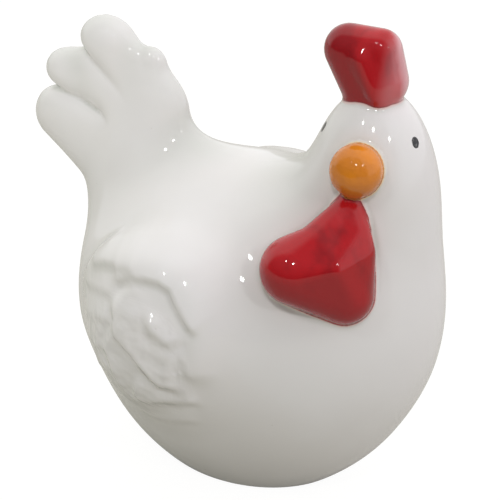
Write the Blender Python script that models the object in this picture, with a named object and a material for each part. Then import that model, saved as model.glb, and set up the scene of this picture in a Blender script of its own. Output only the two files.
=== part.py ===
"""A hen figurine, slip-cast in one piece and glazed: metres, +Z up, resting on z = 0.

The body faces +X and its left side is +Y. The comb and the tail fan lie in the plane of the body,
and the face (beak, wattle and eyes) is turned to the hen's right.
"""

import math

import bmesh
import bpy
from mathutils import Matrix, Vector
from mathutils.bvhtree import BVHTree

# The belly is an egg: an upper dome, and a longer lower bowl that leans forward and is cut flat at the foot.
# The bowl stays round over the ease, a share of its drop, and then narrows by the power of its point
BELLY_LENGTH = 0.1230
BELLY_WIDTH = 0.1000
BELLY_RISE = 0.0547
BELLY_DROP = 0.0655
BELLY_POINT = 1.40
BELLY_EASE = 0.10
BELLY_LEAN = 0.0030
FOOT_CUT = 0.0129

# The neck is a tall dome set back from the front of the belly
NECK_SETBACK = 0.0202
NECK_WIDTH = 0.0452
NECK_TALL = 0.0931
HEAD_TOP = 0.1408
NECK_FILLET = 0.0228

# The chest fills the hollow between neck and belly
CHEST_SETBACK = 0.0379
CHEST_RAISE = 0.0041
CHEST_LENGTH = 0.0730
CHEST_WIDTH = 0.0752
CHEST_TALL = 0.0941
CHEST_FILLET = 0.0140

# The tail fan: each lobe is an angle up from straight back, a length from the root and a tip width
TAIL_ROOT_INSET = 0.0202
TAIL_ROOT_RAISE = 0.0366
TAIL_ROOT_WIDTH = 0.0317
TAIL_THICKNESS = 0.66
TAIL_FILLET = 0.0161
LOBE_FILLET = 0.0057
TAIL_LOBES = (
    (26, 0.0384, 0.0200),
    (46, 0.0434, 0.0204),
    (71, 0.0463, 0.0233),
    (92, 0.0421, 0.0122),
    (102, 0.0284, 0.0186),
)

# The comb: one skin stretched over two fat lobes. The root of each is ahead of the neck's middle and above
# the head's top, and the lobe has a lean back, a length and a tip width
COMB_WIDTH = 0.0164
COMB_THICKNESS = 0.95
COMB_LOBES = (
    (-0.0017, -0.0006, 37, 0.0137, 0.0158),
    (0.0000, 0.0027, 3, 0.0092, 0.0134),
)

# The face is turned about the neck, to the hen's right
FACE_TURN = 79
BEAK_DROP = 0.0190
BEAK_WIDTH = 0.0160
BEAK_TALL = 0.0165
BEAK_SINK = 0.0023

# The wattle is a soft triangle with a raised summit. Its corners, its summit and the bend in its rear edge
# are balls: a turn about the neck, a distance from the neck's skin, a drop below the beak and a width
WATTLE_TOP = (82.5, -0.0024, 0.0105, 0.0066)
WATTLE_BEND = (94.7, 0.0092, 0.0219, 0.0130)
WATTLE_BACK = (101.5, 0.0135, 0.0295, 0.0216)
WATTLE_FOOT = (77.5, 0.0056, 0.0378, 0.0180)
WATTLE_FRONT = (69.2, 0.0045, 0.0233, 0.0090)
WATTLE_SUMMIT = (82.4, 0.0118, 0.0260, 0.0100)

# Each wing is a low pad on the side of the belly
WING_BACK = 0.0084
WING_RAISE = 0.0098
WING_SINK = 0.0155
WING_LENGTH = 0.0560
WING_TALL = 0.0605
WING_THICKNESS = 0.0445
WING_FILLET = 0.0120

# Its carving is flattened lobes, sunk into the pad: a thick collar of coverts round the top and front
CARVING_THICKNESS = 0.0056
CARVING_SINK = 0.0013
COLLAR_REACH = 0.0245
COLLAR_WIDTH = 0.0130
COLLAR_START = 125
COLLAR_END = -15
COLLAR_STEPS = 7

# and the feathers inside it, each from one place to another, ahead of and above the wing's middle, and a width
WING_FEATHERS = (
    (-0.0070, 0.0165, -0.0220, 0.0130, 0.0085),
    (-0.0110, 0.0070, -0.0230, 0.0040, 0.0085),
    (-0.0130, -0.0005, -0.0225, -0.0030, 0.0080),
    (-0.0120, -0.0095, -0.0200, -0.0135, 0.0080),
    (-0.0040, 0.0125, -0.0050, 0.0065, 0.0130),
    (-0.0090, -0.0035, -0.0085, -0.0135, 0.0100),
    (0.0080, 0.0105, 0.0085, 0.0070, 0.0095),
    (0.0010, 0.0015, 0.0060, -0.0070, 0.0100),
    (0.0005, -0.0170, 0.0100, -0.0155, 0.0080),
    (0.0150, -0.0075, 0.0135, -0.0125, 0.0070),
)

# The casting is hollow, over a flat floor with a foot ring, a shallow recess and a vent
WALL = 0.0042
VENT_WIDTH = 0.0120
FOOT_RING = 0.0060
FOOT_RECESS = 0.0012

# How finely the skin is made
BODY_GRAIN = 0.0020
DETAIL_GRAIN = 0.0013
HOLLOW_GRAIN = 0.0030
BLEND_ROUNDS = 6
DETAIL_FILLET = 0.0050
DETAIL_ROUNDS = 30
OUTSIDE_TRIANGLES = 10200
HOLLOW_TRIANGLES = 1000
ROUND = 40

GLAZE_ROUGHNESS = 0.12
PAINT_REACH = 0.0006
WHITE = (0.86, 0.85, 0.83, 1.0)
RED = (0.36, 0.014, 0.018, 1.0)
ORANGE = (0.72, 0.27, 0.04, 1.0)


def clear_scene():
    for old in list(bpy.data.objects):
        bpy.data.objects.remove(old, do_unlink=True)


def object_from(bm, name):
    """Turns a bmesh into an object of that name, with its faces pointing out."""
    bmesh.ops.recalc_face_normals(bm, faces=bm.faces)
    mesh = bpy.data.meshes.new(name)
    bm.to_mesh(mesh)
    bm.free()
    made = bpy.data.objects.new(name, mesh)
    bpy.context.scene.collection.objects.link(made)
    return made


def ellipsoid(name, centre, size):
    """A ball stretched to the given length, width and height."""
    bm = bmesh.new()
    bmesh.ops.create_uvsphere(bm, u_segments=2 * ROUND, v_segments=ROUND, radius=0.5)
    bmesh.ops.scale(bm, vec=size, verts=bm.verts)
    bmesh.ops.translate(bm, vec=centre, verts=bm.verts)
    return object_from(bm, name)


def stretched(name, balls):
    """The skin stretched round some balls, each a centre, a width, a thickness and the way it is thin."""
    bm = bmesh.new()
    for centre, width, thickness, thin_way in balls:
        ball = bmesh.ops.create_uvsphere(bm, u_segments=ROUND, v_segments=ROUND // 2, radius=width / 2)
        flat = Matrix.Translation(centre) @ Matrix.Scale(thickness / width, 4, thin_way)
        bmesh.ops.transform(bm, matrix=flat, verts=ball["verts"])
    bmesh.ops.delete(bm, geom=list(bm.edges), context="EDGES_FACES")
    bmesh.ops.convex_hull(bm, input=bm.verts)
    inner = [vert for vert in bm.verts if not vert.link_faces]
    bmesh.ops.delete(bm, geom=inner, context="VERTS")
    return object_from(bm, name)


def fan_ball(centre, width, share):
    """A ball of a fan that lies in the plane of the body, its thickness that share of its width."""
    return (centre, width, width * share, Vector((0, 1, 0)))


def tree_of(made):
    bm = bmesh.new()
    bm.from_mesh(made.data)
    tree = BVHTree.FromBMesh(bm)
    bm.free()
    return tree


def skin_over(name, pieces, grain):
    """The pieces as one closed skin, remeshed at the grain."""
    bm = bmesh.new()
    for piece in pieces:
        bm.from_mesh(piece.data)
        bpy.data.objects.remove(piece, do_unlink=True)
    whole = object_from(bm, name)
    remesh = whole.modifiers.new("one skin", "REMESH")
    remesh.mode = "VOXEL"
    remesh.voxel_size = grain
    keep_result(whole)
    return whole


def smooth_skin(whole, rounds, group=""):
    smooth = whole.modifiers.new("ease", "SMOOTH")
    smooth.factor = 0.5
    smooth.iterations = rounds
    smooth.vertex_group = group
    keep_result(whole)


def height_over(tree, point):
    """How far the point lies outside a piece, less than nothing if it is inside."""
    place, normal, _, distance = tree.find_nearest(point)
    return distance if (point - place).dot(normal) > 0 else -distance


def soft_least(first, second, reach):
    """The smaller of two heights, and less than both where they differ by under the reach."""
    overlap = max(reach - abs(first - second), 0)
    return min(first, second) - overlap * overlap / (4 * reach)


def height_over_all(layers, point):
    """Height over a blend of layers: each has pieces, the reach of its fillet and that between its own pieces."""
    total = None
    for trees, reach, own_reach in layers:
        height = height_over(trees[0], point)
        for tree in trees[1:]:
            height = soft_least(height, height_over(tree, point), own_reach)
        total = height if total is None else soft_least(total, height, reach)
    return total


def blended(name, layers, grain):
    """The layers as one skin with soft fillets: remeshed, then each point moved until its height is nothing."""
    trees = [([tree_of(piece) for piece in pieces], reach, own) for pieces, reach, own in layers]
    whole = skin_over(name, [piece for pieces, _, _ in layers for piece in pieces], grain)
    for _ in range(BLEND_ROUNDS):
        smooth_skin(whole, 2)
        normals = [vert.normal.copy() for vert in whole.data.vertices]
        for vert, normal in zip(whole.data.vertices, normals):
            vert.co -= normal * height_over_all(trees, vert.co)
        whole.data.update()
    return whole


def mark_creases(whole, trees, reach):
    """Weighs each point by how near it lies to a second piece: one in the crease, none beyond the reach."""
    group = whole.vertex_groups.new(name="creases")
    for vert in whole.data.vertices:
        near = sorted(tree.find_nearest(vert.co)[3] for tree in trees)
        share = 1 - near[1] / reach
        if share > 0:
            group.add([vert.index], share * share * (3 - 2 * share), "REPLACE")


def fused(name, pieces, grain, reach, rounds):
    """The pieces as one skin, its creases eased into small fillets that reach so far."""
    trees = [tree_of(piece) for piece in pieces]
    whole = skin_over(name, pieces, grain)
    mark_creases(whole, trees, reach)
    smooth_skin(whole, rounds, "creases")
    whole.vertex_groups.clear()
    return whole


def thinned(whole, triangles):
    whole.data.calc_loop_triangles()
    thin = whole.modifiers.new("thin", "DECIMATE")
    thin.ratio = triangles / len(whole.data.loop_triangles)
    thin.use_collapse_triangulate = True
    keep_result(whole)
    return whole


def keep_result(made):
    """Replaces the object's mesh with what its modifiers make of it."""
    graph = bpy.context.evaluated_depsgraph_get()
    mesh = bpy.data.meshes.new_from_object(made.evaluated_get(graph))
    made.modifiers.clear()
    made.data = mesh


def belly_height():
    """Height of the belly's widest section above the foot."""
    return BELLY_DROP - FOOT_CUT


def bowl_level(share):
    """How much a share of the bowl's drop counts: less than the share near the top, and one at the bottom."""
    return (math.hypot(share, BELLY_EASE) - BELLY_EASE) / (math.hypot(1, BELLY_EASE) - BELLY_EASE)


def bowl_width(share):
    """The bowl's width at that share of its drop, as a share of its full width."""
    return math.sqrt(1 - bowl_level(share) ** BELLY_POINT)


def belly(inset):
    """The egg, turned about Z from its profile and stretched from its width to its length."""
    bm = bmesh.new()
    width = BELLY_WIDTH / 2 - inset
    steps = ROUND
    profile = []
    for step in range(steps + 1):
        share = math.cos(math.pi / 2 * step / steps)
        profile.append(bm.verts.new((width * bowl_width(share), 0, -(BELLY_DROP - inset) * share)))
    for step in range(1, steps + 1):
        angle = math.pi / 2 * step / steps
        profile.append(bm.verts.new((width * math.cos(angle), 0, (BELLY_RISE - inset) * math.sin(angle))))
    edges = [bm.edges.new(pair) for pair in zip(profile, profile[1:])]
    outline = profile + edges
    bmesh.ops.spin(bm, geom=outline, axis=(0, 0, 1), cent=(0, 0, 0), angle=math.tau, steps=2 * ROUND)
    bmesh.ops.remove_doubles(bm, verts=bm.verts, dist=0.00001)
    bmesh.ops.scale(bm, vec=((BELLY_LENGTH / 2 - inset) / width, 1, 1), verts=bm.verts)
    for vert in bm.verts:
        vert.co.x += BELLY_LEAN * (min(vert.co.z, 0) / BELLY_DROP) ** 2
    bmesh.ops.translate(bm, vec=(0, 0, belly_height()), verts=bm.verts)
    return object_from(bm, "belly")


def neck_forward():
    return BELLY_LENGTH / 2 - NECK_SETBACK


def core(inset):
    """The belly, neck and chest, each smaller all round by the inset, as layers of a blend."""
    less = Vector((2 * inset, 2 * inset, 2 * inset))
    neck = Vector((NECK_WIDTH, NECK_WIDTH, NECK_TALL))
    neck_middle = (neck_forward(), 0, HEAD_TOP - NECK_TALL / 2)
    chest = Vector((CHEST_LENGTH, CHEST_WIDTH, CHEST_TALL))
    chest_middle = (BELLY_LENGTH / 2 - CHEST_SETBACK, 0, belly_height() + CHEST_RAISE)
    return [
        ([belly(inset)], 1, 1),
        ([ellipsoid("neck", neck_middle, neck - less)], NECK_FILLET, 1),
        ([ellipsoid("chest", chest_middle, chest - less)], CHEST_FILLET, 1),
    ]


def tail_root():
    return Vector((TAIL_ROOT_INSET - BELLY_LENGTH / 2, 0, belly_height() + TAIL_ROOT_RAISE))


def tail():
    lobes = []
    for angle, length, width in TAIL_LOBES:
        along = Vector((-math.cos(math.radians(angle)), 0, math.sin(math.radians(angle))))
        root = fan_ball(tail_root(), TAIL_ROOT_WIDTH, TAIL_THICKNESS)
        tip = fan_ball(tail_root() + along * length, width, TAIL_THICKNESS)
        lobes.append(stretched("tail_lobe", (root, tip)))
    return lobes


def comb():
    balls = []
    for ahead, above, lean, length, width in COMB_LOBES:
        root = Vector((neck_forward() + ahead, 0, HEAD_TOP + above))
        along = Vector((-math.sin(math.radians(lean)), 0, math.cos(math.radians(lean))))
        balls.append(fan_ball(root, COMB_WIDTH, COMB_THICKNESS))
        balls.append(fan_ball(root + along * length, width, COMB_THICKNESS))
    return [stretched("comb", balls)]


def by_neck(turn, off_skin, drop):
    """A point off the neck's skin and below the beak, turned from straight ahead to the hen's right."""
    angle = -math.radians(turn)
    out = NECK_WIDTH / 2 + off_skin
    height = HEAD_TOP - BEAK_DROP - drop
    return Vector((neck_forward() + out * math.cos(angle), out * math.sin(angle), height))


def beak():
    return [ellipsoid("beak", by_neck(FACE_TURN, -BEAK_SINK, 0), (BEAK_WIDTH, BEAK_WIDTH, BEAK_TALL))]


def wattle():
    """Three sides round the summit, each a skin stretched round its balls."""
    sides = (
        (WATTLE_SUMMIT, WATTLE_TOP, WATTLE_FRONT, WATTLE_FOOT),
        (WATTLE_SUMMIT, WATTLE_FOOT, WATTLE_BACK, WATTLE_BEND),
        (WATTLE_SUMMIT, WATTLE_BEND, WATTLE_TOP),
    )
    return [
        stretched("wattle", [fan_ball(by_neck(*place), width, 1) for *place, width in side])
        for side in sides
    ]


def wing_middle(side):
    return Vector((-WING_BACK, side * (BELLY_WIDTH / 2 - WING_SINK), belly_height() + WING_RAISE))


def wing_pads():
    size = (WING_LENGTH, WING_THICKNESS, WING_TALL)
    return [ellipsoid("wing_pad", wing_middle(side), size) for side in (-1, 1)]


def carved_ball(skin, side, ahead, up, width):
    """A flat ball sunk into the body's skin, so far ahead of and above the wing's middle."""
    start = wing_middle(side) + Vector((ahead, side * BELLY_WIDTH, up))
    place, normal, _, _ = skin.ray_cast(start, Vector((0, -side, 0)))
    return (place - normal * CARVING_SINK, width, CARVING_THICKNESS, normal)


def collar(skin, side):
    """The thick rim of coverts that runs round the top and front of the wing."""
    balls = []
    for step in range(COLLAR_STEPS + 1):
        turn = math.radians(COLLAR_START + (COLLAR_END - COLLAR_START) * step / COLLAR_STEPS)
        reach = (COLLAR_REACH * math.cos(turn), COLLAR_REACH * math.sin(turn))
        balls.append(carved_ball(skin, side, *reach, COLLAR_WIDTH))
    return [stretched("collar", pair) for pair in zip(balls, balls[1:])]


def feathers(skin, side):
    lobes = []
    for ahead, up, end_ahead, end_up, width in WING_FEATHERS:
        start = carved_ball(skin, side, ahead, up, width)
        end = carved_ball(skin, side, end_ahead, end_up, width)
        lobes.append(stretched("feather", (start, end)))
    return lobes


def carving(skin):
    return [lobe for side in (-1, 1) for lobe in collar(skin, side) + feathers(skin, side)]


def oval_post(name, centre, length, width, low, high):
    """An upright post of oval section between two heights."""
    bm = bmesh.new()
    bmesh.ops.create_cone(bm, cap_ends=True, segments=2 * ROUND, radius1=0.5, radius2=0.5, depth=1)
    bmesh.ops.scale(bm, vec=(length, width, high - low), verts=bm.verts)
    bmesh.ops.translate(bm, vec=(centre, 0, (low + high) / 2), verts=bm.verts)
    return object_from(bm, name)


def cut(whole, tool):
    """Takes the tool out of the whole with a Boolean that stays live, and hides the tool."""
    tool.hide_render = True
    tool.display_type = "WIRE"
    tool.parent = whole
    boolean = whole.modifiers.new("cut " + tool.name, "BOOLEAN")
    boolean.operation = "DIFFERENCE"
    boolean.solver = "EXACT"
    boolean.object = tool


def below(name, height):
    """All that lies under a height, to the depth of the uncut belly and more."""
    return oval_post(name, 0, 2 * BELLY_LENGTH, 2 * BELLY_LENGTH, height - BELLY_DROP, height)


def hollow():
    """The inside of the casting: the core less the wall, reaching into the tail, over a flat floor."""
    end = fan_ball(tail_root(), TAIL_ROOT_WIDTH - 2 * WALL, TAIL_THICKNESS)
    start = fan_ball(Vector((0, 0, belly_height())), TAIL_ROOT_WIDTH, TAIL_THICKNESS)
    layers = core(WALL) + [([stretched("tail_hollow", (start, end))], TAIL_FILLET, 1)]
    inside = thinned(blended("hollow", layers, HOLLOW_GRAIN), HOLLOW_TRIANGLES)
    floor = below("floor", FOOT_RECESS + WALL)
    cut(inside, floor)
    keep_result(inside)
    bpy.data.objects.remove(floor, do_unlink=True)
    return inside


def foot_share():
    """The belly's width where it is cut off, as a share of its full width."""
    return bowl_width(belly_height() / BELLY_DROP)


def foot_middle():
    """How far ahead of the widest section the cut-off end of the leaning bowl lies."""
    return BELLY_LEAN * (belly_height() / BELLY_DROP) ** 2


def stand_on_foot(whole):
    """Cuts the foot flat, recesses it inside a ring, hollows the body and opens the vent in its floor."""
    length = BELLY_LENGTH * foot_share() - 2 * FOOT_RING
    width = BELLY_WIDTH * foot_share() - 2 * FOOT_RING
    middle = foot_middle()
    cut(whole, below("ground", 0))
    cut(whole, oval_post("foot_recess", middle, length, width, -FOOT_CUT, FOOT_RECESS))
    cut(whole, hollow())
    cut(whole, oval_post("vent", middle, VENT_WIDTH, VENT_WIDTH, 0, FOOT_RECESS + 2 * WALL))


def glaze(name, colour):
    material = bpy.data.materials.new(name)
    material.use_nodes = True
    shader = material.node_tree.nodes["Principled BSDF"]
    shader.inputs["Base Color"].default_value = colour
    shader.inputs["Roughness"].default_value = GLAZE_ROUGHNESS
    shader.inputs["Metallic"].default_value = 0
    return material


def paint(whole, coats):
    """Colours each face that lies on the skin of a painted piece, and leaves the rest white."""
    whole.data.materials.clear()
    whole.data.materials.append(glaze("white_glaze", WHITE))
    for number, (name, colour, trees) in enumerate(coats, 1):
        whole.data.materials.append(glaze(name, colour))
        for face in whole.data.polygons:
            if min(tree.find_nearest(face.center)[3] for tree in trees) < PAINT_REACH:
                face.material_index = number


def centre_over_origin(whole):
    """Moves the whole, and with it its cutters, until its box stands centred on the origin."""
    graph = bpy.context.evaluated_depsgraph_get()
    corners = [Vector(corner) for corner in whole.evaluated_get(graph).bound_box]
    for axis in (0, 1):
        ends = [corner[axis] for corner in corners]
        whole.location[axis] = -(min(ends) + max(ends)) / 2


def hen():
    layers = core(0) + [(tail(), TAIL_FILLET, LOBE_FILLET), (wing_pads(), WING_FILLET, WING_FILLET)]
    body = blended("body", layers, BODY_GRAIN)
    red = comb() + wattle()
    orange = beak()
    coats = (
        ("red_glaze", RED, [tree_of(piece) for piece in red]),
        ("orange_glaze", ORANGE, [tree_of(piece) for piece in orange]),
    )
    pieces = [body] + carving(tree_of(body)) + red + orange
    whole = thinned(fused("hen", pieces, DETAIL_GRAIN, DETAIL_FILLET, DETAIL_ROUNDS), OUTSIDE_TRIANGLES)
    paint(whole, coats)
    return whole


def main():
    clear_scene()
    whole = hen()
    stand_on_foot(whole)
    centre_over_origin(whole)
    whole.data.shade_smooth()


main()
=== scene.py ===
"""A glazed slip-cast hen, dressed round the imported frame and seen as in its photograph.

The hen is one closed skin. Its shape is kept as a height: at any point, how far that point lies outside
the clay, and less than nothing inside it. The skin is where the height is nothing. It is found on a grid
of cubes, and then each of its points is moved along the height's slope until it lies on it exactly.
All sizes are in metres, and those of the body are the sizes of the part's source. Here the comb's roots
stand a little further apart, and the wattle has one more corner.
"""

import math

import bpy
import numpy as np
from mathutils import Matrix, Vector


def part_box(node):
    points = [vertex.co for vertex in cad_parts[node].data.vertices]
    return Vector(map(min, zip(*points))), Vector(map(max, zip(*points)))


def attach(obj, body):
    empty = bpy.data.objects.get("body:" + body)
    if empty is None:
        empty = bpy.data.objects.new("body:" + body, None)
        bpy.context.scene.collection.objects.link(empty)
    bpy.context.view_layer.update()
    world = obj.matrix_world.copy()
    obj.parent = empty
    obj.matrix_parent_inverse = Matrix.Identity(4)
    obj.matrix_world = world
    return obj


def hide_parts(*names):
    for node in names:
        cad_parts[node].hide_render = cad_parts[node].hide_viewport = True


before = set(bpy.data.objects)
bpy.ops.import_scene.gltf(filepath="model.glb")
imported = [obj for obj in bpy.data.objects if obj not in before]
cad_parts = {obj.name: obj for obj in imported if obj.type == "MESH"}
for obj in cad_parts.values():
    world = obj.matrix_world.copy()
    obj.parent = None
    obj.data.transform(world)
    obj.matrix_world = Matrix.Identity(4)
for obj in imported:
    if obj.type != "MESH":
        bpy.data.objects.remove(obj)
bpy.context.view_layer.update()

# The belly, neck and chest
BELLY_LENGTH = 0.1230
BELLY_WIDTH = 0.1000
BELLY_RISE = 0.0547
BELLY_DROP = 0.0655
BELLY_POINT = 1.40
BELLY_EASE = 0.10
BELLY_LEAN = 0.0030
FOOT_CUT = 0.0129
NECK_SETBACK = 0.0202
NECK_WIDTH = 0.0452
NECK_TALL = 0.0931
HEAD_TOP = 0.1408
NECK_FILLET = 0.0228
CHEST_SETBACK = 0.0379
CHEST_RAISE = 0.0041
CHEST_LENGTH = 0.0730
CHEST_WIDTH = 0.0752
CHEST_TALL = 0.0941
CHEST_FILLET = 0.0140

# The tail fan: each lobe is an angle up from straight back, a length from the root and a tip width
TAIL_ROOT_INSET = 0.0202
TAIL_ROOT_RAISE = 0.0366
TAIL_ROOT_WIDTH = 0.0317
TAIL_THICKNESS = 0.66
TAIL_FILLET = 0.0161
LOBE_FILLET = 0.0057
TAIL_LOBES = (
    (26, 0.0384, 0.0200),
    (46, 0.0434, 0.0204),
    (71, 0.0463, 0.0233),
    (92, 0.0421, 0.0122),
    (102, 0.0284, 0.0186),
)

# The grooves between the lobes. Each has a depth, the share of its way at which it starts to fade, and the
# places it runs through from the rim inwards, ahead of and above the fan's root
TAIL_GROOVES = (
    (0.0028, 0.70, (-0.0420, 0.0285), (-0.0351, 0.0275), (-0.0234, 0.0262),
     (-0.0145, 0.0238), (-0.0080, 0.0216)),
    (0.0021, 0.45, (-0.0275, 0.0450), (-0.0205, 0.0425), (-0.0140, 0.0385),
     (-0.0076, 0.0340), (-0.0011, 0.0280)),
    (0.0007, 0.30, (-0.0060, 0.0560), (-0.0010, 0.0480), (0.0030, 0.0389)),
    (0.0005, 0.30, (0.0110, 0.0460), (0.0089, 0.0368)),
)
GROOVE_EDGE = 0.0008
GROOVE_SPREAD = 0.0024

# The comb: each lobe's root is ahead of the neck's middle and above the head's top, and has a lean back,
# a length and a tip width
COMB_WIDTH = 0.0164
COMB_THICKNESS = 0.95
COMB_LOBES = (
    (-0.0030, -0.0006, 32, 0.0129, 0.0158),
    (0.0014, 0.0027, 6, 0.0093, 0.0134),
)

# The ridge down the comb's right side, from top to foot: places off the neck's middle and the head's top
COMB_RIDGE = ((-0.0028, -0.0058, 0.0100), (0.0030, -0.0056, -0.0010))
COMB_RIDGE_WIDTH = 0.0052
COMB_FILLET = 0.0030

# The face, turned about the neck to the hen's right
FACE_TURN = 79
BEAK_DROP = 0.0190
BEAK_WIDTH = 0.0160
BEAK_TALL = 0.0165
BEAK_SINK = 0.0023

# The eyes, turned from straight ahead
EYE_TURNS = (13, 150)
EYE_DROP = 0.0131
EYE_WIDTH = 0.0031
EYE_TALL = 0.0039

# The comb's front is thinly painted where its skin faces this way: a start and a width on the scale from
# nothing, for square to it, to one
THIN_WAY = (0.87, 0.49, 0.05)
THIN_FACING = 0.35
THIN_TURNING = 0.60

# Its paint also thins this far ahead of the neck's middle, over a length and by a share
THIN_START = 0.0025
THIN_LENGTH = 0.0050
THIN_SHARE = 0.3

# The comb's back gets painted shade, starting this far ahead of its ridge and full after this width
SHADE_START = 0.0008
SHADE_WIDTH = 0.0024

# Below the beak, skin that looks sideways and down gets painted shade, by a share
BELOW_FACING = 0.42
BELOW_TURNING = 0.45
SHADE_BELOW = 0.8

# Paint counts as the comb's up to this height over it
COMB_PAINT = 0.001

# The wattle: its corners and its summit are balls, each a turn about the neck, a distance off its skin,
# a drop below the beak and a width
WATTLE_TOP = (82.5, -0.0024, 0.0105, 0.0066)
WATTLE_BEND = (94.7, 0.0092, 0.0219, 0.0130)
WATTLE_BACK = (101.5, 0.0135, 0.0295, 0.0216)
WATTLE_FOOT = (77.5, 0.0056, 0.0378, 0.0180)
WATTLE_FRONT = (69.2, 0.0045, 0.0233, 0.0090)
WATTLE_SIDE = (73.0, 0.0025, 0.0170, 0.0080)
WATTLE_SUMMIT = (82.4, 0.0118, 0.0260, 0.0100)
WATTLE_RIM = (WATTLE_TOP, WATTLE_SIDE, WATTLE_FRONT, WATTLE_FOOT, WATTLE_BACK, WATTLE_BEND)
WATTLE_SOFTNESS = 0.0013

# A ball of this reach round the summit holds the wattle, and within the margin its height is exact
WATTLE_REACH = 0.0270
WATTLE_MARGIN = 0.0060
FACE_FILLET = 0.0018

# The wing pads, and the carving on them
WING_BACK = 0.0084
WING_RAISE = 0.0098
WING_SINK = 0.0155
WING_LENGTH = 0.0560
WING_TALL = 0.0605
WING_THICKNESS = 0.0445
WING_FILLET = 0.0120

# The carving starts at this distance from the middle plane and is full a little further out. It lies within
# a share of the pad's height from the wing's middle
CARVING_DEPTH = 0.030
CARVING_EASE = 0.010
CARVING_ROOM = 0.75

# Its uneven area: a place behind and below the wing's middle, a reach, and the shares of the reach at which
# it starts to fade and over which it does
ROUGH_PLACE = (-0.003, -0.006)
ROUGH_AREA = 0.020
ROUGH_FULL = 0.8
ROUGH_FADE = 0.3

# The carving is a few long steps in the pad. Each has a drop, how far its upper side fades, and the places
# it runs through, ahead of and above the wing's middle. The lower side is on its right hand
CARVED_STEPS = (
    (0.0012, 0.0045, (-0.0095, 0.0180), (-0.0030, 0.0210), (0.0070, 0.0215),
     (0.0115, 0.0155), (0.0165, 0.0105)),
    (0.0007, 0.0060, (-0.0060, 0.0190), (-0.0115, 0.0115), (-0.0110, 0.0080), (-0.0095, 0.0050)),
    (0.0008, 0.0040, (-0.0105, 0.0045), (-0.0150, -0.0060), (-0.0130, -0.0090), (-0.0110, -0.0175)),
    (0.0011, 0.0060, (-0.0080, 0.0010), (-0.0005, -0.0045), (0.0055, -0.0120), (0.0105, -0.0120)),
    (0.0008, 0.0060, (0.0030, 0.0090), (0.0040, 0.0060), (0.0105, 0.0035), (0.0135, 0.0055)),
    (0.0006, 0.0030, (0.0115, -0.0065), (0.0135, -0.0005), (0.0155, -0.0010), (0.0165, -0.0050)),
    (0.0009, 0.0045, (-0.0020, -0.0140), (-0.0040, -0.0205), (-0.0015, -0.0225),
     (0.0060, -0.0200), (0.0165, -0.0175)),
    (0.0004, 0.0030, (-0.0025, -0.0295), (0.0045, -0.0300), (0.0145, -0.0270)),
    (0.0005, 0.0045, (-0.0250, 0.0165), (-0.0170, 0.0205), (-0.0065, 0.0225)),
    (0.0005, 0.0045, (-0.0275, 0.0080), (-0.0185, 0.0115), (-0.0125, 0.0120)),
    (0.0004, 0.0045, (-0.0260, -0.0010), (-0.0185, 0.0030), (-0.0120, 0.0035)),
    (0.0004, 0.0045, (-0.0240, -0.0095), (-0.0185, -0.0090), (-0.0150, -0.0060)),
    (0.0004, 0.0045, (-0.0200, -0.0180), (-0.0160, -0.0165), (-0.0115, -0.0150)),
)

# A step's slope reaches this far to each side, and it runs on this far past its ends. All drops are
# multiplied by the size, and the lower side sinks by a share of the drop over a share of the fade
STEP_SLOPE = 0.0024
STEP_END = 0.0025
STEP_SIZE = 1.8
LOWER_DROP = 0.6
LOWER_FADE = 0.5

# The wing's rim: a soft ridge through these places, ahead of and above the wing's middle
RIM = (
    (-0.0370, 0.0060),
    (-0.0300, 0.0160),
    (-0.0205, 0.0225),
    (-0.0098, 0.0262),
    (0.0020, 0.0270),
    (0.0115, 0.0248),
    (0.0172, 0.0185),
    (0.0205, 0.0090),
    (0.0200, -0.0030),
)
RIM_RISE = 0.0018
RIM_SPREAD = 0.0052

# Soft swells and hollows of the body, the same on both sides: a rise, a place, and how far it spreads
SWELLS = (
    (0.0014, (-0.0500, -0.0260, 0.0740), 0.0110),
    (-0.0014, (-0.0460, -0.0280, 0.0320), 0.0200),
    (-0.0008, (0.0000, 0.0100, 0.1060), 0.0280),
)

# The inside and the foot
WALL = 0.0042
VENT_WIDTH = 0.0120
FOOT_RING = 0.0060
FOOT_RECESS = 0.0012
EDGE_ROUND = 0.0010

# The grid: the size of its cubes, how many of them a block has along each side, how many times a block's
# size the skin may be off for the block to be near, and the room round the body as shares of its sizes
GRAIN = 0.0012
BLOCK = 4
NEAR_BLOCK = 1.3
ROOM_ASIDE = 0.8
ROOM_ABOVE = 1.25

# Points settle on the skin in these rounds, and slopes are taken over this step
SETTLE_ROUNDS = 4
SLOPE_STEP = 0.0001
EYE_ROUNDS = 40
EYE_STRIDE = 0.9

# Bare clay shows where the skin lies deeper than this below the outside, and this near to the ground
BARE_DEPTH = 0.0003
BARE_RISE = 0.0006

# Glaze pools in a crease, where the height this far out from the skin is less than the way there
CREASE_REACH = 0.002


def soft_least(first, second, reach):
    """The smaller of two heights, rounded where they differ by less than the reach.

    With the overlap o = reach - |first - second|, it is less by o^2 / (4 reach).
    """
    overlap = np.maximum(reach - np.abs(first - second), 0)
    return np.minimum(first, second) - overlap * overlap / (4 * reach)


def soft_most(first, second, reach):
    """The larger of two heights, rounded in the same way."""
    return -soft_least(-first, -second, reach)


def smooth(share):
    """Runs from nothing to one with level ends: 3 s^2 - 2 s^3, with the share s kept between the two."""
    share = np.clip(share, 0, 1)
    return share * share * (3 - 2 * share)


def over_ball(points, centre, size):
    """Height over a stretched ball: k (k - 1) over the slope of k, with k the distance in half sizes."""
    from_centre = points - np.asarray(centre)
    half = np.asarray(size) / 2
    share = np.linalg.norm(from_centre / half, axis=1)
    slope = np.linalg.norm(from_centre / half**2, axis=1)
    return share * (share - 1) / np.maximum(slope, 1e-9)


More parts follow.
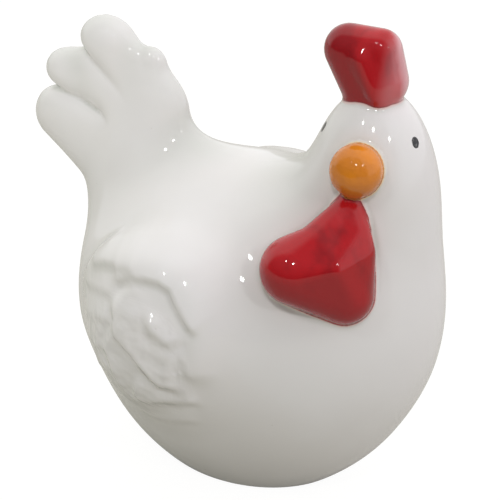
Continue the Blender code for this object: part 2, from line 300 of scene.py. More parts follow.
def over_cone(points, start, end, start_width, end_width, thickness=1):
    """Height over a skin stretched tight round two balls, squeezed in Y to a share of its width.

    The nearest ball of the row between the ends is at level = far - off * taper / side, with far and off
    the point's distances along the row and beside it, and the height is the distance from that ball.
    """
    squeeze = np.array([1, 1 / thickness, 1])
    along = (np.asarray(end) - start) * squeeze
    placed = (points - np.asarray(start)) * squeeze
    length = np.linalg.norm(along)
    way = along / length
    start_radius = start_width / 2
    end_radius = end_width / 2
    taper = (start_radius - end_radius) / length
    side = math.sqrt(1 - taper * taper)
    far = placed @ way
    off = np.linalg.norm(placed - far[:, None] * way, axis=1)
    level = np.clip(far - off * taper / side, 0, length)
    radius = start_radius - level * taper
    height = np.hypot(off, far - level) - radius
    return height * thickness


def belly_height():
    """The level of the belly's widest place above the ground."""
    return BELLY_DROP - FOOT_CUT


def over_belly(points, inset):
    """Height over the egg: an upper half ball, and a lower bowl that leans forward.

    At a share d of its drop the bowl's level is l = (sqrt(d^2 + e^2) - e) / (sqrt(1 + e^2) - e), with the
    ease e, and its width is sqrt(1 - l^p) of the full one, with the power p of its point.
    """
    x, y, z = points[:, 0], points[:, 1], points[:, 2] - belly_height()
    down = z < 0
    leaned = x - BELLY_LEAN * (np.minimum(z, 0) / BELLY_DROP) ** 2
    length = BELLY_LENGTH / 2 - inset
    width = BELLY_WIDTH / 2 - inset
    tall = np.where(down, BELLY_DROP, BELLY_RISE) - inset
    power = np.where(down, BELLY_POINT, 2)
    ease = np.where(down, BELLY_EASE, 0)
    drop = np.abs(z) / tall + 1e-6
    full = np.hypot(1, ease) - ease
    level = (np.hypot(drop, ease) - ease) / full
    steepness = drop / np.hypot(drop, ease) / full / tall
    share = np.sqrt((leaned / length) ** 2 + (y / width) ** 2 + level**power)
    slopes = (leaned / length**2, y / width**2, power * level ** (power - 1) * steepness / 2)
    slope = np.sqrt(sum(part * part for part in slopes)) / share
    return (share - 1) / np.maximum(slope, 1)


def neck_forward():
    """How far the neck's middle is ahead of the belly's."""
    return BELLY_LENGTH / 2 - NECK_SETBACK


def over_core(points, inset):
    """Height over belly, neck and chest, each smaller all round by the inset and joined by its fillet."""
    less = 2 * inset
    neck = (NECK_WIDTH - less, NECK_WIDTH - less, NECK_TALL - less)
    chest = (CHEST_LENGTH - less, CHEST_WIDTH - less, CHEST_TALL - less)
    neck_middle = (neck_forward(), 0, HEAD_TOP - NECK_TALL / 2)
    chest_middle = (BELLY_LENGTH / 2 - CHEST_SETBACK, 0, belly_height() + CHEST_RAISE)
    height = soft_least(over_belly(points, inset), over_ball(points, neck_middle, neck), NECK_FILLET)
    return soft_least(height, over_ball(points, chest_middle, chest), CHEST_FILLET)


def tail_root():
    """The place from which the tail's lobes fan out."""
    return np.array([TAIL_ROOT_INSET - BELLY_LENGTH / 2, 0, belly_height() + TAIL_ROOT_RAISE])


def over_tail(points):
    """Height over the fan: cones from its root, joined by their fillet, less the grooves between them."""
    height = None
    for angle, length, width in TAIL_LOBES:
        along = np.array([-math.cos(math.radians(angle)), 0, math.sin(math.radians(angle))])
        tip = tail_root() + along * length
        lobe = over_cone(points, tail_root(), tip, TAIL_ROOT_WIDTH, width, TAIL_THICKNESS)
        height = lobe if height is None else soft_least(height, lobe, LOBE_FILLET)
    return height + grooves(points[:, [0, 2]] - tail_root()[[0, 2]])


def off_path(places, path):
    """How far places lie beside a path, how far past its ends, and at which share of its length.

    Beside is more than nothing on the path's left hand and less on its right.
    """
    legs = len(path) - 1
    nearest = np.full(len(places), np.inf)
    beside = np.zeros(len(places))
    past = np.zeros(len(places))
    share = np.zeros(len(places))
    for leg in range(legs):
        length = np.linalg.norm(path[leg + 1] - path[leg])
        way = (path[leg + 1] - path[leg]) / length
        from_start = places - path[leg]
        far = from_start @ way
        off = way[0] * from_start[:, 1] - way[1] * from_start[:, 0]
        before = np.maximum(-far, 0)
        after = np.maximum(far - length, 0)
        gap = (before if leg > 0 else 0) + (after if leg < legs - 1 else 0)
        distance = np.hypot(off, gap)
        closer = distance < nearest
        nearest = np.where(closer, distance, nearest)
        beside = np.where(closer, np.copysign(distance, off), beside)
        past = np.where(closer, (before if leg == 0 else 0) + (after if leg == legs - 1 else 0), past)
        share = np.where(closer, (leg + np.clip(far / length, 0, 1)) / legs, share)
    return beside, past, share


def rounded(path):
    """The path with each inner corner cut between a quarter of the way back and a quarter on."""
    cut = [path[:-1] * 0.75 + path[1:] * 0.25, path[:-1] * 0.25 + path[1:] * 0.75]
    inner = np.stack(cut, axis=1).reshape(-1, 2)[1:-1]
    return np.concatenate([path[:1], inner, path[-1:]])


def grooves(places):
    """Depth of the tail's grooves: each is deep at the fan's rim and dies away towards the root.

    With d the distance from its path and e the groove's edge, the depth is multiplied by
    exp((e - sqrt(d^2 + e^2)) / spread).
    """
    depth = 0
    for deepest, start, *path in TAIL_GROOVES:
        beside, _, share = off_path(places, np.array(path))
        away = np.hypot(beside, GROOVE_EDGE) - GROOVE_EDGE
        fading = 1 - smooth((share - start) / (1 - start))
        depth = depth + deepest * np.exp(-away / GROOVE_SPREAD) * fading
    return depth


def by_neck(turn, off_skin, drop):
    """A point off the neck's skin and below the beak, turned from straight ahead to the hen's right."""
    angle = -math.radians(turn)
    out = NECK_WIDTH / 2 + off_skin
    height = HEAD_TOP - BEAK_DROP - drop
    return np.array([neck_forward() + out * math.cos(angle), out * math.sin(angle), height])


def over_beak(points):
    """Height over the beak's round knob."""
    return over_ball(points, by_neck(FACE_TURN, -BEAK_SINK, 0), (BEAK_WIDTH, BEAK_WIDTH, BEAK_TALL))


def ball_places(balls):
    """Centres and widths of balls that are given by their turn, distance off the neck, drop and width."""
    return [(by_neck(*ball[:3]), ball[3]) for ball in balls]


def over_sheet(points, balls):
    """Height over a skin stretched tight round three balls.

    It is the least of the heights over its three round edges and, where a point's foot lies between the
    places at which a flat face touches the balls, of the height over that face.
    """
    corners, widths = zip(*balls)
    height = over_cone(points, corners[2], corners[0], widths[2], widths[0])
    for one in (0, 1):
        edge = over_cone(points, corners[one], corners[one + 1], widths[one], widths[one + 1])
        height = np.minimum(height, edge)
    edges = np.array([corners[1] - corners[0], corners[2] - corners[0]])
    falls = np.array([widths[0] - widths[1], widths[0] - widths[2]]) / 2
    flat = np.cross(*edges)
    flat /= np.linalg.norm(flat)
    lean = np.linalg.lstsq(edges, falls, rcond=None)[0]
    for side in (-1, 1):
        normal = lean + side * math.sqrt(1 - lean @ lean) * flat
        touch = [corner + width / 2 * normal for corner, width in zip(corners, widths)]
        above = (points - touch[0]) @ normal
        foot = points - above[:, None] * normal
        within = (points - corners[0]) @ flat * side > 0
        for one, other, last in ((0, 1, 2), (1, 2, 0), (2, 0, 1)):
            inward = np.cross(normal, touch[other] - touch[one])
            inward *= np.sign(inward @ (touch[last] - touch[one]))
            within &= (foot - touch[one]) @ inward > 0
        height = np.where(within, np.minimum(height, above), height)
    return height


def over_comb(points):
    """Height over the comb: a skin round its two roots and two tips, with the ridge down its side."""
    squeeze = np.array([1, 1 / COMB_THICKNESS, 1])
    placed = points * squeeze
    balls = []
    for ahead, above, lean, length, width in COMB_LOBES:
        root = np.array([neck_forward() + ahead, 0, HEAD_TOP + above])
        along = np.array([-math.sin(math.radians(lean)), 0, math.cos(math.radians(lean))])
        balls.append((root, COMB_WIDTH))
        balls.append((root + along * length, width))
    halves = [over_sheet(placed, (balls[1], balls[3], root)) for root in (balls[0], balls[2])]
    lobes = []
    for (root, wide), (tip, width) in (balls[:2], balls[2:]):
        lobes.append(over_cone(placed, root, tip, wide, width))
    height = np.min([*halves, *lobes], axis=0) * COMB_THICKNESS
    top, foot = (np.array(place) + [neck_forward(), 0, HEAD_TOP] for place in COMB_RIDGE)
    ridge = over_cone(points, top, foot, COMB_RIDGE_WIDTH, COMB_RIDGE_WIDTH)
    return soft_least(height, ridge, COMB_FILLET)


def over_wattle(points):
    """Height over sheets that run from the rim's corners to the summit.

    It is softened by taking the mean of the height at the point and at six others close round it.
    """
    middle = by_neck(*WATTLE_SUMMIT[:3])
    apart = np.linalg.norm(points - middle, axis=1)
    height = apart - WATTLE_REACH
    near = apart < WATTLE_REACH + WATTLE_MARGIN
    corners = zip(WATTLE_RIM, WATTLE_RIM[1:] + WATTLE_RIM[:1])
    sheets = [ball_places((one, other, WATTLE_SUMMIT)) for one, other in corners]
    steps = np.concatenate([np.zeros((1, 3)), np.eye(3), -np.eye(3)]) * WATTLE_SOFTNESS
    total = 0
    for step in steps:
        total = total + np.min([over_sheet(points[near] + step, balls) for balls in sheets], axis=0)
    height[near] = total / len(steps)
    return height


def wing_middle():
    """The middle of the right wing; the left one is its mirror."""
    return np.array([-WING_BACK, WING_SINK - BELLY_WIDTH / 2, belly_height() + WING_RAISE])


def step_relief(places, drop, fade, path):
    """How far one carved step raises the pad.

    With s the distance beside its rounded path and r running smoothly from 0 to 1 across the slope, it is
    size * drop * (r exp(-s / fade) - lower (1 - r) exp(s / (share fade))), with s kept above nothing in the
    first part and below it in the second. It dies away past the path's ends.
    """
    beside, past, _ = off_path(places, rounded(np.array(path)))
    rise = smooth((beside + STEP_SLOPE) / (2 * STEP_SLOPE))
    upper = rise * np.exp(-np.maximum(beside, 0) / fade)
    lower = (1 - rise) * np.exp(np.minimum(beside, 0) / (LOWER_FADE * fade))
    return STEP_SIZE * drop * (upper - LOWER_DROP * lower) * np.exp(-((past / STEP_END) ** 2))


def carving(points):
    """How far the carved steps, the wings' rims and the soft swells raise the body.

    The rim and the swells are bells: rise * exp(-(distance / spread)^2).
    """
    relief = np.zeros(len(points))
    middle = wing_middle()
    deep = np.abs(points[:, 1])
    places = points[:, [0, 2]] - middle[[0, 2]]
    near = (deep > CARVING_DEPTH) & (np.abs(places).max(axis=1) < CARVING_ROOM * WING_TALL)
    kept = places[near]
    total = sum(step_relief(kept, drop, fade, path) for drop, fade, *path in CARVED_STEPS)
    beside, past, _ = off_path(kept, np.array(RIM))
    total = total + RIM_RISE * np.exp(-(beside**2 + past**2) / RIM_SPREAD**2)
    relief[near] = total * smooth((deep[near] - CARVING_DEPTH) / CARVING_EASE)
    right = points * [1, 0, 1] - np.abs(points * [0, 1, 0])
    for rise, place, spread in SWELLS:
        relief = relief + rise * np.exp(-np.sum((right - place) ** 2, axis=1) / spread**2)
    return relief


def over_body(points):
    """Height over the white body without its face: core, tail and carved wing pads."""
    mirrored = points * [1, 0, 1] - np.abs(points * [0, 1, 0])
    pad = over_ball(mirrored, wing_middle(), (WING_LENGTH, WING_THICKNESS, WING_TALL))
    height = soft_least(over_core(points, 0), over_tail(points), TAIL_FILLET)
    return soft_least(height, pad, WING_FILLET) - carving(points)


def over_parts(points):
    """Heights over the body, the red pieces and the beak, one column each."""
    red = np.minimum(over_comb(points), over_wattle(points))
    return np.stack([over_body(points), red, over_beak(points)], axis=1)


def over_outside(points):
    """Height over the outside, with the painted parts joined to the body by a small fillet."""
    body, red, beak = over_parts(points).T
    return soft_least(soft_least(body, red, FACE_FILLET), beak, FACE_FILLET)


def foot_share():
    """The belly's width where it is cut off, as a share of its full width."""
    level = math.hypot(belly_height() / BELLY_DROP, BELLY_EASE) - BELLY_EASE
    return math.sqrt(1 - (level / (math.hypot(1, BELLY_EASE) - BELLY_EASE)) ** BELLY_POINT)


def foot_middle():
    """How far the belly's lean has carried its middle forward at the foot."""
    return BELLY_LEAN * (belly_height() / BELLY_DROP) ** 2


def over_post(points, length, width, low, high):
    """Height over an upright oval post between two levels."""
    x = (points[:, 0] - foot_middle()) / (length / 2)
    y = points[:, 1] / (width / 2)
    beside = (np.hypot(x, y) - 1) * min(length, width) / 2
    return np.maximum(beside, np.maximum(points[:, 2] - high, low - points[:, 2]))


def over_hollow(points):
    """Height over the open space within: the core less the wall, and the tail's root, over the floor."""
    middle = np.array([0, 0, belly_height()])
    width = TAIL_ROOT_WIDTH
    root = over_cone(points, middle, tail_root(), width, width - 2 * WALL, TAIL_THICKNESS)
    height = soft_least(over_core(points, WALL), root, TAIL_FILLET)
    return soft_most(height, FOOT_RECESS + WALL - points[:, 2], EDGE_ROUND)


def over_hen(points):
    """Height over the clay: the outside, less the ground, the foot's recess, the hollow and the vent."""
    length = BELLY_LENGTH * foot_share() - 2 * FOOT_RING
    width = BELLY_WIDTH * foot_share() - 2 * FOOT_RING
    openings = (
        over_post(points, length, width, -FOOT_CUT, FOOT_RECESS),
        over_hollow(points),
        over_post(points, VENT_WIDTH, VENT_WIDTH, -FOOT_CUT, FOOT_RECESS + 2 * WALL),
    )
    height = soft_most(over_outside(points), -points[:, 2], EDGE_ROUND)
    for opening in openings:
        height = soft_most(height, -opening, EDGE_ROUND)
    return height


def slope_of(height, points):
    """The height's slope along X, Y and Z, from its change over a short step each way."""
    steps = np.eye(3) * SLOPE_STEP
    changes = [height(points + step) - height(points - step) for step in steps]
    return np.stack(changes, axis=1) / (2 * SLOPE_STEP)


def heights_on_grid(height, low, counts, step):
    """Heights at the grid's points: exact in the blocks near the skin, and the block's own elsewhere."""
    blocks = counts // BLOCK
    middles = [low[axis] + step * BLOCK * (np.arange(blocks[axis]) + 0.5) for axis in range(3)]
    coarse = np.stack(np.meshgrid(*middles, indexing="ij"), -1).reshape(-1, 3)
    rough = height(coarse)
    fine = [low[axis] + step * (np.arange(counts[axis]) + 0.5) for axis in range(3)]
    grid = np.stack(np.meshgrid(*fine, indexing="ij"), -1)
    spread = rough.reshape(blocks)
    for axis in range(3):
        spread = np.repeat(spread, BLOCK, axis=axis)
    near = np.abs(spread) < BLOCK * step * NEAR_BLOCK
    values = spread.copy()
    values[near] = height(grid[near])
    return values, grid


def skin_of(height, low, high, step):
    """Points and four-sided faces of the skin where the height is nothing.

    Each cube of the grid that the skin crosses gets one point, at the mean of the places where the skin
    crosses the cube's edges. Each crossed edge gets one face, through the points of its four cubes.
    """
    counts = np.ceil((high - low) / (step * BLOCK)).astype(int) * BLOCK
    values, grid = heights_on_grid(height, low, counts, step)
    inside = values < 0
    cubes = counts - 1
    sums = np.zeros((*cubes, 3))
    hits = np.zeros(cubes)
    crossed = []
    for axis in range(3):
        start = tuple(slice(0, -1) if other == axis else slice(None) for other in range(3))
        end = tuple(slice(1, None) if other == axis else slice(None) for other in range(3))
        mask = inside[start] != inside[end]
        gap = np.where(mask, values[start] - values[end], 1)
        places = grid[start] + (values[start] / gap * step)[..., None] * np.eye(3)[axis]
        for near in range(2):
            for far in range(2):
                part = [slice(None)] * 3
                part[(axis + 1) % 3] = slice(near, near + cubes[(axis + 1) % 3])
                part[(axis + 2) % 3] = slice(far, far + cubes[(axis + 2) % 3])
                share = mask[tuple(part)]
                sums += np.where(share[..., None], places[tuple(part)], 0)
                hits += share
        crossed.append((mask, inside[start]))
    used = hits > 0
    numbers = np.full(cubes, -1)
    numbers[used] = np.arange(used.sum())
    points = sums[used] / hits[used][:, None]
    faces = []
    for axis, (mask, outward) in enumerate(crossed):
        one, two = (axis + 1) % 3, (axis + 2) % 3
        place = np.argwhere(mask)
        corners = []
        for back_one, back_two in ((1, 1), (0, 1), (0, 0), (1, 0)):
            cube = place.copy()
            cube[:, one] -= back_one
            cube[:, two] -= back_two
            corners.append(numbers[tuple(cube.T)])
        quads = np.stack(corners, axis=1)
        turned = ~outward[mask]
        quads[turned] = quads[turned][:, ::-1]
        faces.append(quads)
    return points, np.concatenate(faces)


def settled(height, points):
    """Each point moved along the slope by its height over the slope's square, a few times."""
    for _ in range(SETTLE_ROUNDS):
        slope = slope_of(height, points)
        points = points - slope * (height(points) / np.sum(slope * slope, axis=1))[:, None]
    return points


def mesh_object(name, points, faces, normals):
    """An object at the origin with those points, faces and smooth normals."""
    mesh = bpy.data.meshes.new(name)
    mesh.vertices.add(len(points))
    mesh.vertices.foreach_set("co", points.astype(np.float32).ravel())
    mesh.loops.add(faces.size)
    mesh.loops.foreach_set("vertex_index", faces.astype(np.int32).ravel())
    mesh.polygons.add(len(faces))
    mesh.polygons.foreach_set("loop_start", np.arange(0, faces.size, 4, dtype=np.int32))
    mesh.update(calc_edges=True)
    mesh.validate()
    mesh.shade_smooth()
    mesh.normals_split_custom_set_from_vertices(normals)
    made = bpy.data.objects.new(name, mesh)
    bpy.context.scene.collection.objects.link(made)
    return made


def store(made, name, values):
    """A value for each point of the mesh, for the material to read by its name."""
    layer = made.data.attributes.new(name, "FLOAT", "POINT")
    layer.data.foreach_set("value", values.astype(np.float32))


def eye_places():
    """Where the eyes lie on the head: points far out at their turn, moved in until they meet the skin."""
    places = []
    for turn in EYE_TURNS:
        out = NECK_WIDTH
        drop = EYE_DROP - BEAK_DROP
        for _ in range(EYE_ROUNDS):
            place = by_neck(turn, out - NECK_WIDTH / 2, drop)
            out -= over_body(place[None])[0] * EYE_STRIDE
        places.append(place)
    return places


def paint_guides(points, normals):
    """What the paint, the glaze and the painted shade follow, by name: heights over the painted parts, and
    masks up to one.
    """
    body, red, beak = over_parts(points).T
    on_comb = over_comb(points) < COMB_PAINT
    below_beak = points[:, 2] < HEAD_TOP - BEAK_DROP
    eye_size = (EYE_WIDTH, EYE_WIDTH, EYE_TALL)
    eyes = np.min([over_ball(points, place, eye_size) for place in eye_places()], axis=0)
    thin = smooth((normals @ THIN_WAY - THIN_FACING) / THIN_TURNING)
    ahead = points[:, 0] - neck_forward()
    thin = np.maximum(thin, THIN_SHARE * smooth((ahead - THIN_START) / THIN_LENGTH)) * on_comb
    top, foot = (np.array(place)[[0, 2]] for place in COMB_RIDGE)
    behind, _, _ = off_path(points[:, [0, 2]] - [neck_forward(), HEAD_TOP], np.array([foot, top]))
    # Painted shade: the comb's back behind its ridge, and faces below the beak that look down, are darkened
    painted_shade = smooth((behind + SHADE_START) / SHADE_WIDTH) * on_comb
    looking_down = smooth((BELOW_FACING - normals[:, 2]) / BELOW_TURNING)
    painted_shade = np.maximum(painted_shade, SHADE_BELOW * looking_down * below_beak)
    from_middle = points[:, [0, 2]] - wing_middle()[[0, 2]] - ROUGH_PLACE
    rough_share = np.linalg.norm(from_middle / ROUGH_AREA, axis=1)
    rough = 1 - smooth((rough_share - ROUGH_FULL) / ROUGH_FADE)
    return {
        "red_edge": red - np.minimum(body, beak),
        "beak_edge": beak - np.minimum(body, red),
        "eye_edge": eyes,
        "bare_clay": np.maximum(-over_outside(points) - BARE_DEPTH, BARE_RISE - points[:, 2]),
        "crease": CREASE_REACH - over_hen(points + normals * CREASE_REACH),
        "thin_red": thin,
        "painted_shade_red": painted_shade,
        "rough_wing": rough * smooth((np.abs(points[:, 1]) - CARVING_DEPTH) / CARVING_EASE),
        # How far below the beak's middle a point lies, for the painted shade on its lower half
        "beak_low": (HEAD_TOP - BEAK_DROP - points[:, 2]) / (BEAK_TALL / 2),
    }


def make_hen():
    """The glazed skin, centred on the frame's own hen as seen from above."""
    low = np.array([-BELLY_LENGTH, -BELLY_WIDTH, -2 * GRAIN]) * [ROOM_ASIDE, ROOM_ASIDE, 1]
    high = np.array([BELLY_LENGTH, BELLY_WIDTH, HEAD_TOP]) * [ROOM_ASIDE, ROOM_ASIDE, ROOM_ABOVE]
    points, faces = skin_of(over_hen, low, high, GRAIN)
    points = settled(over_hen, points)
    points[:, 2] = np.maximum(points[:, 2], 0)
    slope = slope_of(over_hen, points)
    normals = slope / np.linalg.norm(slope, axis=1)[:, None]
    guides = paint_guides(points, normals)
    box_low, box_high = (np.array(corner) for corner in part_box("hen"))
    shift = (box_low + box_high) / 2 - (points.min(axis=0) + points.max(axis=0)) / 2
    made = mesh_object("glazed_hen", points + shift * [1, 1, 0], faces, normals)
    for name, values in guides.items():
        store(made, name, values)
    return made


class Nodes:
    """Adds nodes to a tree by kind, settings and inputs."""

    def __init__(self, tree):
        self.tree = tree

    def add(self, kind, settings=None, **inputs):
        node = self.tree.nodes.new("ShaderNode" + kind)
        for name, value in (settings or {}).items():
            setattr(node, name, value)
        for name, value in inputs.items():
            self.put(node, int(name[1:]) if name[0] == "_" else name.replace("_", " "), value)
        return node

    def put(self, node, name, value):
        socket = node.inputs[name]
        if isinstance(value, bpy.types.NodeSocket):
            self.tree.links.new(value, socket)
        else:
            socket.default_value = value

    def math(self, operation, *values):
        node = self.tree.nodes.new("ShaderNodeMath")
        node.operation = operation
        for number, value in enumerate(values):
            self.put(node, number, value)
        return node.outputs[0]

    def mix(self, share, one, other, blend="MIX"):
        node = self.tree.nodes.new("ShaderNodeMix")
        node.data_type = "RGBA"
        node.blend_type = blend
        self.put(node, 0, share)
        self.put(node, 6, one)
        self.put(node, 7, other)
        return node.outputs[2]

    def fade(self, value, low, high, to_low=0.0, to_high=1.0):
        """Runs smoothly between two results as the value runs between two limits."""
        node = self.tree.nodes.new("ShaderNodeMapRange")
        node.interpolation_type = "SMOOTHSTEP"
        for number, number_value in enumerate((value, low, high, to_low, to_high)):
            self.put(node, number, number_value)
        return node.outputs[0]


def rgba(red, green, blue):
    return (red, green, blue, 1)


# The glaze and the clay
WHITE = rgba(0.86, 0.85, 0.83)
WHITE_THIN = rgba(0.84, 0.825, 0.80)
WHITE_POOLED = rgba(0.70, 0.71, 0.66)
PIN_DOT = rgba(0.60, 0.58, 0.52)
CLAY = rgba(0.72, 0.66, 0.58)

# The paint
RED = rgba(0.48, 0.008, 0.013)
# Dark red of thick paint, also used as painted shade
RED_THICK_AND_SHADE = rgba(0.30, 0.006, 0.010)
RED_STREAK = rgba(0.60, 0.024, 0.032)
RED_THIN = rgba(0.78, 0.44, 0.46)
RED_HALO = rgba(0.86, 0.50, 0.46)
ORANGE = rgba(0.79, 0.255, 0.012)
# Dark orange of thick paint, also used as painted shade on the beak's lower half
ORANGE_THICK_AND_SHADE = rgba(0.62, 0.20, 0.030)
ORANGE_HALO = rgba(0.88, 0.66, 0.30)
CHARCOAL = rgba(0.020, 0.020, 0.024)
# Light specks in the eyes: painted glints
EYE_GLINT = rgba(0.16, 0.16, 0.16)

# How much each kind of unevenness raises the surface
RIPPLE_RISE = 0.00035
SKIN_RISE = 0.000004
PAINT_RISE = 0.00004
STROKE_RISE = 0.00035
LUMP_RISE = 0.00045
FACET_RISE = 0.0022
GRIT_RISE = 0.0002

# How far the edges of the paint waver
RED_WAVER = 0.0008
BEAK_WAVER = 0.0006

# The room: white at the sides and behind, and dark in front
LEFT_SIDE = rgba(1.15, 1.17, 1.07)
RIGHT_SIDE = rgba(1.22, 1.17, 1.28)
DARK_LOW = rgba(0.11, 0.11, 0.11)
DARK_HIGH = rgba(0.30, 0.30, 0.32)

# The lamps: a name, a turn and a rise as seen from the hen, a width and a power
LAMPS = (
    ("lamp_front", 22, 47, 0.11, 3.3),
    ("lamp_top", -15, 50, 0.10, 1.7),
    ("lamp_side", 64, 35, 0.08, 1.8),
)
LAMP_DISTANCE = 1.5
LAMP_TARGET = (0, 0, 0.07)
TAIL_LAMP_TARGET = (-0.070, 0, 0.115)
TAIL_LAMP_WAY = (0.02, -0.52, 0.13)
TAIL_LAMP_SPREAD = 24
TAIL_LAMP_WIDTH = 0.06
TAIL_LAMP_POWER = 2.6

# The paper floor, and the share of its colour that is plain white to the camera and to mirrors
FLOOR_SIZE = 3
PAPER_DARK = rgba(0.47, 0.46, 0.40)
PAPER_LIGHT = rgba(0.50, 0.49, 0.43)
PAPER_GLOW = 1.16
SEEN_WHITE = 0.82
MIRRORED_WHITE = 0.12

# The photograph's view: how far it is turned from the hen's right, raised and tilted
CAMERA_TURN = 29.1
CAMERA_RISE = 27.2
CAMERA_TILT = 1.52
CAMERA_DISTANCE = 0.560
CAMERA_TARGET = (0.0084, 0, 0.0740)
CAMERA_LENS = 122
CAMERA_SENSOR = 36


def glaze_material():
    """Clear glaze over white clay, with red and orange paint under it, bare clay beneath the foot, and
    painted shade and glints.
    """
    material = bpy.data.materials.new("painted_glaze")
    material.use_nodes = True
    tree = material.node_tree
    nodes = Nodes(tree)
    shader = tree.nodes["Principled BSDF"]
    place = nodes.add("TexCoord").outputs["Object"]

    def attribute(name):
        return nodes.add("Attribute", {"attribute_name": name}).outputs["Fac"]

    def noise(scale, detail=2.0, stretch=(1, 1, 1), shift=(0, 0, 0)):
        spot = nodes.add("Mapping", Vector=place, Scale=stretch, Location=shift).outputs[0]
        return nodes.add("TexNoise", Vector=spot, Scale=scale, Detail=detail).outputs["Fac"]

    def part(one, other):
        return nodes.math("MULTIPLY", one, other)

    def wavering(edge, scale, reach):
        off_middle = nodes.math("SUBTRACT", noise(scale, 2), 0.5)
        return nodes.math("MULTIPLY_ADD", off_middle, reach, attribute(edge))

    tone = noise(22, 3)
    ripple = noise(48, 1)
    skin = noise(420, 2)
    strokes = noise(70, 3, (1.0, 1.0, 0.22))
    blotches = noise(85, 3, (1, 1, 0.6), (3, 1, 2))
    red_edge = wavering("red_edge", 160, RED_WAVER)
    beak_edge = wavering("beak_edge", 190, BEAK_WAVER)

    white = nodes.mix(nodes.fade(tone, 0.40, 0.62), WHITE, WHITE_THIN)
    white = nodes.mix(nodes.fade(attribute("crease"), 0.00008, 0.0011), white, WHITE_POOLED)
    dots = nodes.add("TexVoronoi", {"feature": "F1"}, Vector=place, Scale=110).outputs["Distance"]
    dotted = part(nodes.fade(dots, 0.030, 0.055, 1, 0), nodes.fade(noise(30, 1), 0.52, 0.60))
    white = nodes.mix(part(dotted, 0.55), white, PIN_DOT)

    red = nodes.mix(nodes.fade(blotches, 0.48, 0.66), RED, RED_THICK_AND_SHADE)
    red = nodes.mix(part(nodes.fade(strokes, 0.52, 0.70), 0.75), red, RED_STREAK)
    red = nodes.mix(part(nodes.fade(red_edge, -0.0011, -0.0003), 0.6), red, RED_THICK_AND_SHADE)
    # Painted shade darkens the comb's back and the downward faces below the beak
    red = nodes.mix(part(attribute("painted_shade_red"), 0.85), red, RED_THICK_AND_SHADE)
    red = nodes.mix(attribute("thin_red"), red, RED_THIN)
    # Painted shade: the beak's lower half is darker orange
    orange = nodes.mix(nodes.fade(attribute("beak_low"), -0.2, 0.7), ORANGE, ORANGE_THICK_AND_SHADE)
    orange = nodes.mix(part(nodes.fade(blotches, 0.45, 0.65), 0.45), orange, ORANGE_THICK_AND_SHADE)
    # The eyes carry painted glints, light specks in the charcoal
    eye = nodes.mix(nodes.fade(noise(1500, 2), 0.56, 0.64), CHARCOAL, EYE_GLINT)

    colour = nodes.mix(nodes.fade(red_edge, 0.0, 0.0011, 0.60, 0), white, RED_HALO)
    colour = nodes.mix(nodes.fade(beak_edge, 0.0, 0.0012, 0.65, 0), colour, ORANGE_HALO)
    colour = nodes.mix(nodes.fade(red_edge, -0.00025, 0.0002, 1, 0), colour, red)
    colour = nodes.mix(nodes.fade(beak_edge, -0.0003, 0.0002, 1, 0), colour, orange)
    colour = nodes.mix(nodes.fade(attribute("eye_edge"), -0.0001, 0.0001, 1, 0), colour, eye)
    bare = nodes.fade(attribute("bare_clay"), 0.0, 0.0002)
    colour = nodes.mix(bare, colour, CLAY)

    on_red = nodes.fade(red_edge, -0.0006, 0.0, 1, 0)
    on_beak = nodes.fade(beak_edge, -0.0006, 0.0, 1, 0)
    rise = part(ripple, RIPPLE_RISE)
    rise = nodes.math("MULTIPLY_ADD", skin, SKIN_RISE, rise)
    rise = nodes.math("ADD", rise, nodes.fade(red_edge, -0.0004, 0.0002, PAINT_RISE, 0))
    rise = nodes.math("MULTIPLY_ADD", part(strokes, on_red), STROKE_RISE, rise)
    rise = nodes.math("MULTIPLY_ADD", part(noise(260, 2), on_beak), LUMP_RISE, rise)
    rise = nodes.math("MULTIPLY_ADD", part(noise(130, 1.5), attribute("rough_wing")), FACET_RISE, rise)
    rise = nodes.math("MULTIPLY_ADD", part(noise(1400, 2), bare), GRIT_RISE, rise)
    bump = nodes.add("Bump", Height=rise, Distance=1.0, Strength=1.0)
    gloss = nodes.fade(tone, 0.3, 0.7, 0.045, 0.085)
    nodes.put(shader, "Base Color", colour)
    nodes.put(shader, "Roughness", nodes.math("MULTIPLY_ADD", bare, 0.75, gloss))
    nodes.put(shader, "IOR", 1.5)
    nodes.put(shader, "Normal", bump.outputs[0])
    return material


def towards(turn, rise):
    """The way to a place that is turned from the hen's right and raised, both in degrees."""
    a, e = math.radians(turn), math.radians(rise)
    return np.array([math.sin(a) * math.cos(e), -math.cos(a) * math.cos(e), math.sin(e)])


def make_camera():
    """The photograph's view, with its right and up turned about the line of sight by its tilt."""
    turn, tilt = math.radians(CAMERA_TURN), math.radians(CAMERA_TILT)
    back = towards(CAMERA_TURN, CAMERA_RISE)
    level = np.array([math.cos(turn), math.sin(turn), 0])
    upright = np.cross(back, level)
    right = level * math.cos(tilt) + upright * math.sin(tilt)
    up = upright * math.cos(tilt) - level * math.sin(tilt)
    camera = bpy.data.objects.new("camera", bpy.data.cameras.new("camera"))
    camera.data.lens = CAMERA_LENS
    camera.data.sensor_width = CAMERA_SENSOR
    turned = np.eye(4)
    turned[:3] = np.stack([right, up, back, CAMERA_TARGET + back * CAMERA_DISTANCE], axis=1)
    camera.matrix_world = Matrix(turned)
    bpy.context.scene.collection.objects.link(camera)
    bpy.context.scene.camera = camera


def place_lamp(name, data, target, way):
    """Puts a lamp at the target plus the way, and turns it to shine on the target."""
    made = bpy.data.objects.new(name, data)
    made.location = Vector(target) + Vector(way)
    made.rotation_euler = Vector(way).to_track_quat("Z", "Y").to_euler()
    bpy.context.scene.collection.objects.link(made)
    return made


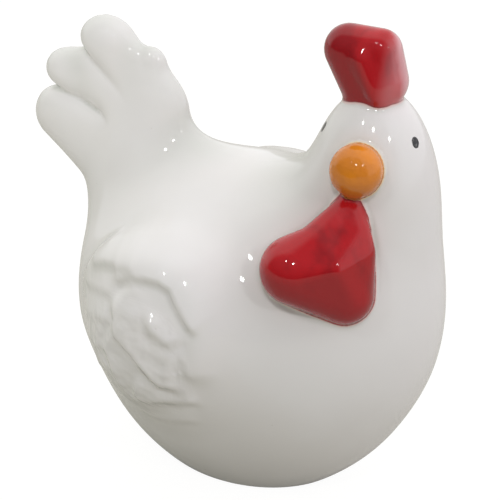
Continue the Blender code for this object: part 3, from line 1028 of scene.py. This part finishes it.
def make_lamps():
    """Three small round lamps, and a soft one that lights the tail without a reflection."""
    for name, turn, rise, width, power in LAMPS:
        data = bpy.data.lights.new(name, "AREA")
        data.shape = "DISK"
        data.size = width
        data.energy = power
        place_lamp(name, data, LAMP_TARGET, towards(turn, rise) * LAMP_DISTANCE)
    glow = bpy.data.lights.new("lamp_tail", "SPOT")
    glow.energy = TAIL_LAMP_POWER
    glow.shadow_soft_size = TAIL_LAMP_WIDTH
    glow.spot_size = math.radians(TAIL_LAMP_SPREAD)
    glow.spot_blend = 1
    place_lamp("lamp_tail", glow, TAIL_LAMP_TARGET, TAIL_LAMP_WAY).visible_glossy = False


def make_room():
    """A room that is white at the sides and behind, dark behind the camera, and white where it is seen."""
    world = bpy.data.worlds.new("studio")
    world.use_nodes = True
    tree = world.node_tree
    nodes = Nodes(tree)
    background = tree.nodes["Background"]
    path = nodes.add("LightPath")
    apart = nodes.add("SeparateXYZ", Vector=nodes.add("TexCoord").outputs["Generated"])
    x, y, z = (apart.outputs[number] for number in range(3))
    level = nodes.fade(z, 0.0, 0.6, 0.78, 1.02)
    level = nodes.add("CombineXYZ", X=level, Y=level, Z=level).outputs[0]
    side = nodes.mix(1, nodes.mix(nodes.fade(x, -0.8, 0.8), LEFT_SIDE, RIGHT_SIDE), level, "MULTIPLY")
    dark = nodes.mix(nodes.fade(z, -0.1, 0.8), DARK_LOW, DARK_HIGH)
    open_side = nodes.fade(y, -0.42, 0.02)
    room = nodes.mix(open_side, dark, side)
    share = nodes.math("MAXIMUM", path.outputs["Is Camera Ray"], path.outputs["Is Transmission Ray"])
    share = nodes.math("MULTIPLY_ADD", path.outputs["Is Glossy Ray"], open_side, share)
    nodes.put(background, "Color", nodes.mix(share, room, rgba(1, 1, 1)))
    nodes.put(background, "Strength", 1)
    bpy.context.scene.world = world


def make_floor():
    """White paper that the camera sees as white, and that keeps the hen's shadow."""
    mesh = bpy.data.meshes.new("floor")
    corners = [(x * FLOOR_SIZE, y * FLOOR_SIZE, 0) for x, y in ((-1, -1), (1, -1), (1, 1), (-1, 1))]
    mesh.from_pydata(corners, [], [(0, 1, 2, 3)])
    floor = bpy.data.objects.new("floor", mesh)
    bpy.context.scene.collection.objects.link(floor)
    material = bpy.data.materials.new("floor_paper")
    material.use_nodes = True
    tree = material.node_tree
    nodes = Nodes(tree)
    tree.nodes.remove(tree.nodes["Principled BSDF"])
    place = nodes.add("TexCoord").outputs["Object"]
    fibre = nodes.add("TexNoise", Vector=place, Scale=900, Detail=2).outputs["Fac"]
    tint = nodes.mix(fibre, PAPER_DARK, PAPER_LIGHT)
    bump = nodes.add("Bump", Height=fibre, Distance=0.00005).outputs[0]
    paper = nodes.add("BsdfDiffuse", Color=tint, Normal=bump)
    white = nodes.add("Emission", Color=rgba(1, 1, 1), Strength=PAPER_GLOW)
    path = nodes.add("LightPath")
    share = nodes.math("MULTIPLY", path.outputs["Is Camera Ray"], SEEN_WHITE)
    share = nodes.math("MULTIPLY_ADD", path.outputs["Is Glossy Ray"], MIRRORED_WHITE, share)
    share = nodes.math("MULTIPLY_ADD", path.outputs["Is Transmission Ray"], SEEN_WHITE, share)
    blend = nodes.add("MixShader", _0=share, _1=paper.outputs[0], _2=white.outputs[0])
    tree.links.new(blend.outputs[0], tree.nodes["Material Output"].inputs["Surface"])
    mesh.materials.append(material)


bpy.context.scene.view_settings.view_transform = "Standard"
hen = make_hen()
hen.data.materials.append(glaze_material())
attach(hen, "root")
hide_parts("hen")
make_camera()
make_lamps()
make_room()
make_floor()
